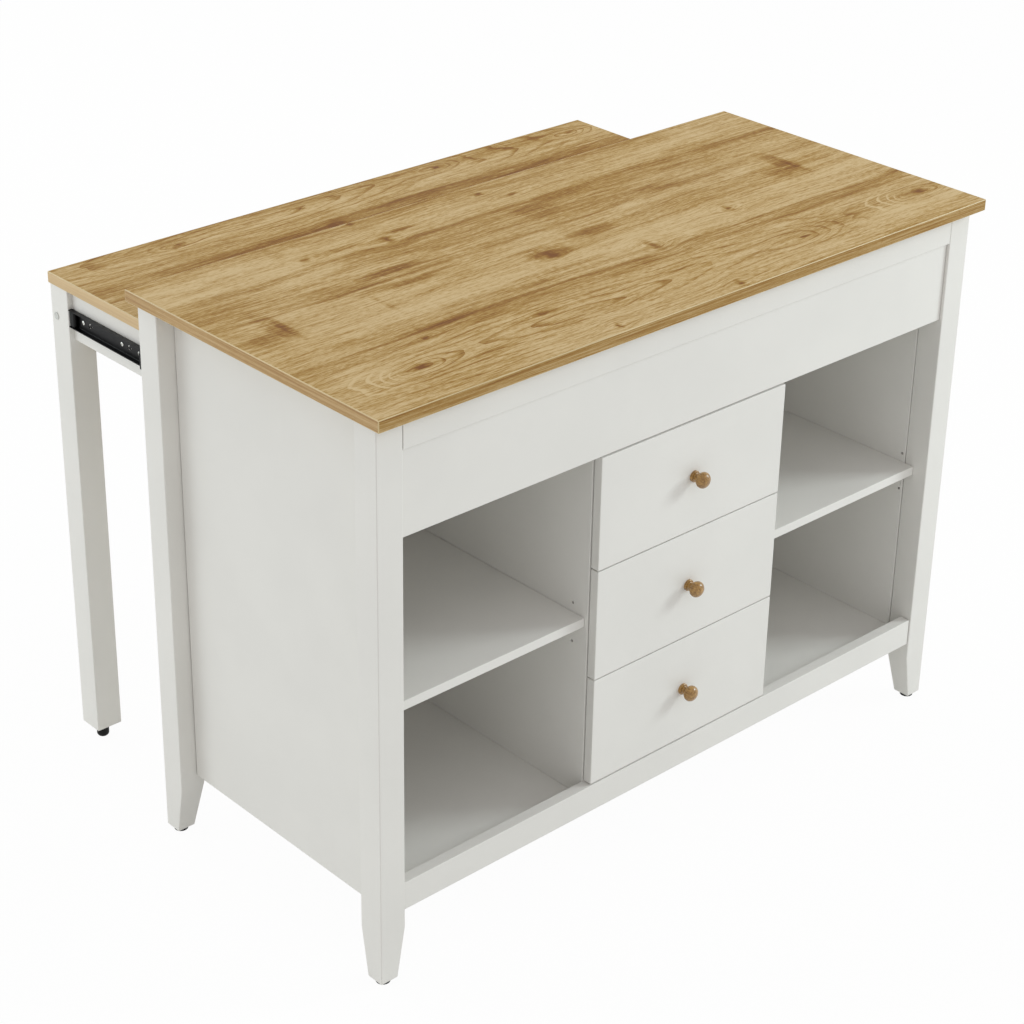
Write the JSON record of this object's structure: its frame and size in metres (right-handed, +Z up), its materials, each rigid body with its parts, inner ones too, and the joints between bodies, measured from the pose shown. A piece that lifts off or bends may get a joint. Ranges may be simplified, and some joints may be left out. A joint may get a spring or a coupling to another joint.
{
  "type": "kitchen island with pull-out table leaf",
  "caption": "Painted kitchen island on tapered posts with open shelf bays, a bank of drawers with turned knobs, a wood-grain worktop and a lower table leaf that pulls out at the back.",
  "frame": {"origin": "on the floor under the centre of the whole unit's box, with the leaf pulled out as pictured", "axes": "+Z up; +X along the width, to the right of someone facing the drawers; -Y towards the drawers' side, +Y towards the pull-out leaf"},
  "size_m": [1.21, 0.8526, 0.9],
  "materials": {
    "white_paint": "warm white satin paint on board",
    "grained_laminate": "light oak-like wood-grain laminate, satin",
    "turned_wood": "lacquered golden-brown turned wood",
    "drawer_board": "white faced board, matte",
    "black_metal": "black finished steel slide",
    "black_plastic": "black moulded plastic"
  },
  "bodies": {
    "cabinet": {"worktop": "grained_laminate", "side_panel_left": "white_paint", "side_panel_right": "white_paint", "divider_left": "white_paint", "divider_right": "white_paint", "floor_panel": "white_paint", "deck_panel": "white_paint", "back_panel": "white_paint", "rail_bottom_front": "white_paint", "rail_top_front": "white_paint", "rail_top_back": "white_paint", "apron_panel": "white_paint", "shelf_left": "white_paint", "shelf_right": "white_paint", "post_front_left": "white_paint", "post_front_right": "white_paint", "post_back_left": "white_paint", "post_back_right": "white_paint", "glide_front_left": "black_plastic", "glide_front_right": "black_plastic", "glide_back_left": "black_plastic", "glide_back_right": "black_plastic", "slide_outer_left": "black_metal", "slide_outer_right": "black_metal"},
    "leaf": {"leaf_top": "grained_laminate", "leaf_rail_back": "white_paint", "leaf_rail_inner": "white_paint", "leaf_leg_left": "white_paint", "leaf_rail_left": "white_paint", "slide_inner_left": "black_metal", "leaf_foot_left": "black_plastic", "leaf_bolt_cap_left": "white_paint", "leaf_leg_right": "white_paint", "leaf_rail_right": "white_paint", "slide_inner_right": "black_metal", "leaf_foot_right": "black_plastic", "leaf_bolt_cap_right": "white_paint"},
    "slide_middle_left": {"slide_middle_left": "black_metal"},
    "slide_middle_right": {"slide_middle_right": "black_metal"},
    "drawer_bottom": {"drawer_bottom_front": "white_paint", "drawer_bottom_side_left": "drawer_board", "drawer_bottom_side_right": "drawer_board", "drawer_bottom_back": "drawer_board", "drawer_bottom_bottom": "drawer_board", "drawer_bottom_knob": "turned_wood"},
    "drawer_middle": {"drawer_middle_front": "white_paint", "drawer_middle_side_left": "drawer_board", "drawer_middle_side_right": "drawer_board", "drawer_middle_back": "drawer_board", "drawer_middle_bottom": "drawer_board", "drawer_middle_knob": "turned_wood"},
    "drawer_top": {"drawer_top_front": "white_paint", "drawer_top_side_left": "drawer_board", "drawer_top_side_right": "drawer_board", "drawer_top_back": "drawer_board", "drawer_top_bottom": "drawer_board", "drawer_top_knob": "turned_wood"}
  },
  "joints": [
    {"name": "leaf_slide", "type": "slide", "parent": "cabinet", "child": "leaf", "axis": [0, 1, 0], "range_m": [-0.295, 0]},
    {"name": "slide_middle_left_travel", "type": "slide", "parent": "cabinet", "child": "slide_middle_left", "axis": [0, 1, 0], "range_m": [-0.1475, 0]},
    {"name": "slide_middle_right_travel", "type": "slide", "parent": "cabinet", "child": "slide_middle_right", "axis": [0, 1, 0], "range_m": [-0.1475, 0]},
    {"name": "drawer_bottom_slide", "type": "slide", "parent": "cabinet", "child": "drawer_bottom", "axis": [0, -1, 0], "range_m": [0, 0.3]},
    {"name": "drawer_middle_slide", "type": "slide", "parent": "cabinet", "child": "drawer_middle", "axis": [0, -1, 0], "range_m": [0, 0.3]},
    {"name": "drawer_top_slide", "type": "slide", "parent": "cabinet", "child": "drawer_top", "axis": [0, -1, 0], "range_m": [0, 0.3]}
  ],
  "couplings": [
    {"joint": "slide_middle_left_travel", "follows": "leaf_slide", "ratio": 0.5},
    {"joint": "slide_middle_right_travel", "follows": "leaf_slide", "ratio": 0.5}
  ]
}
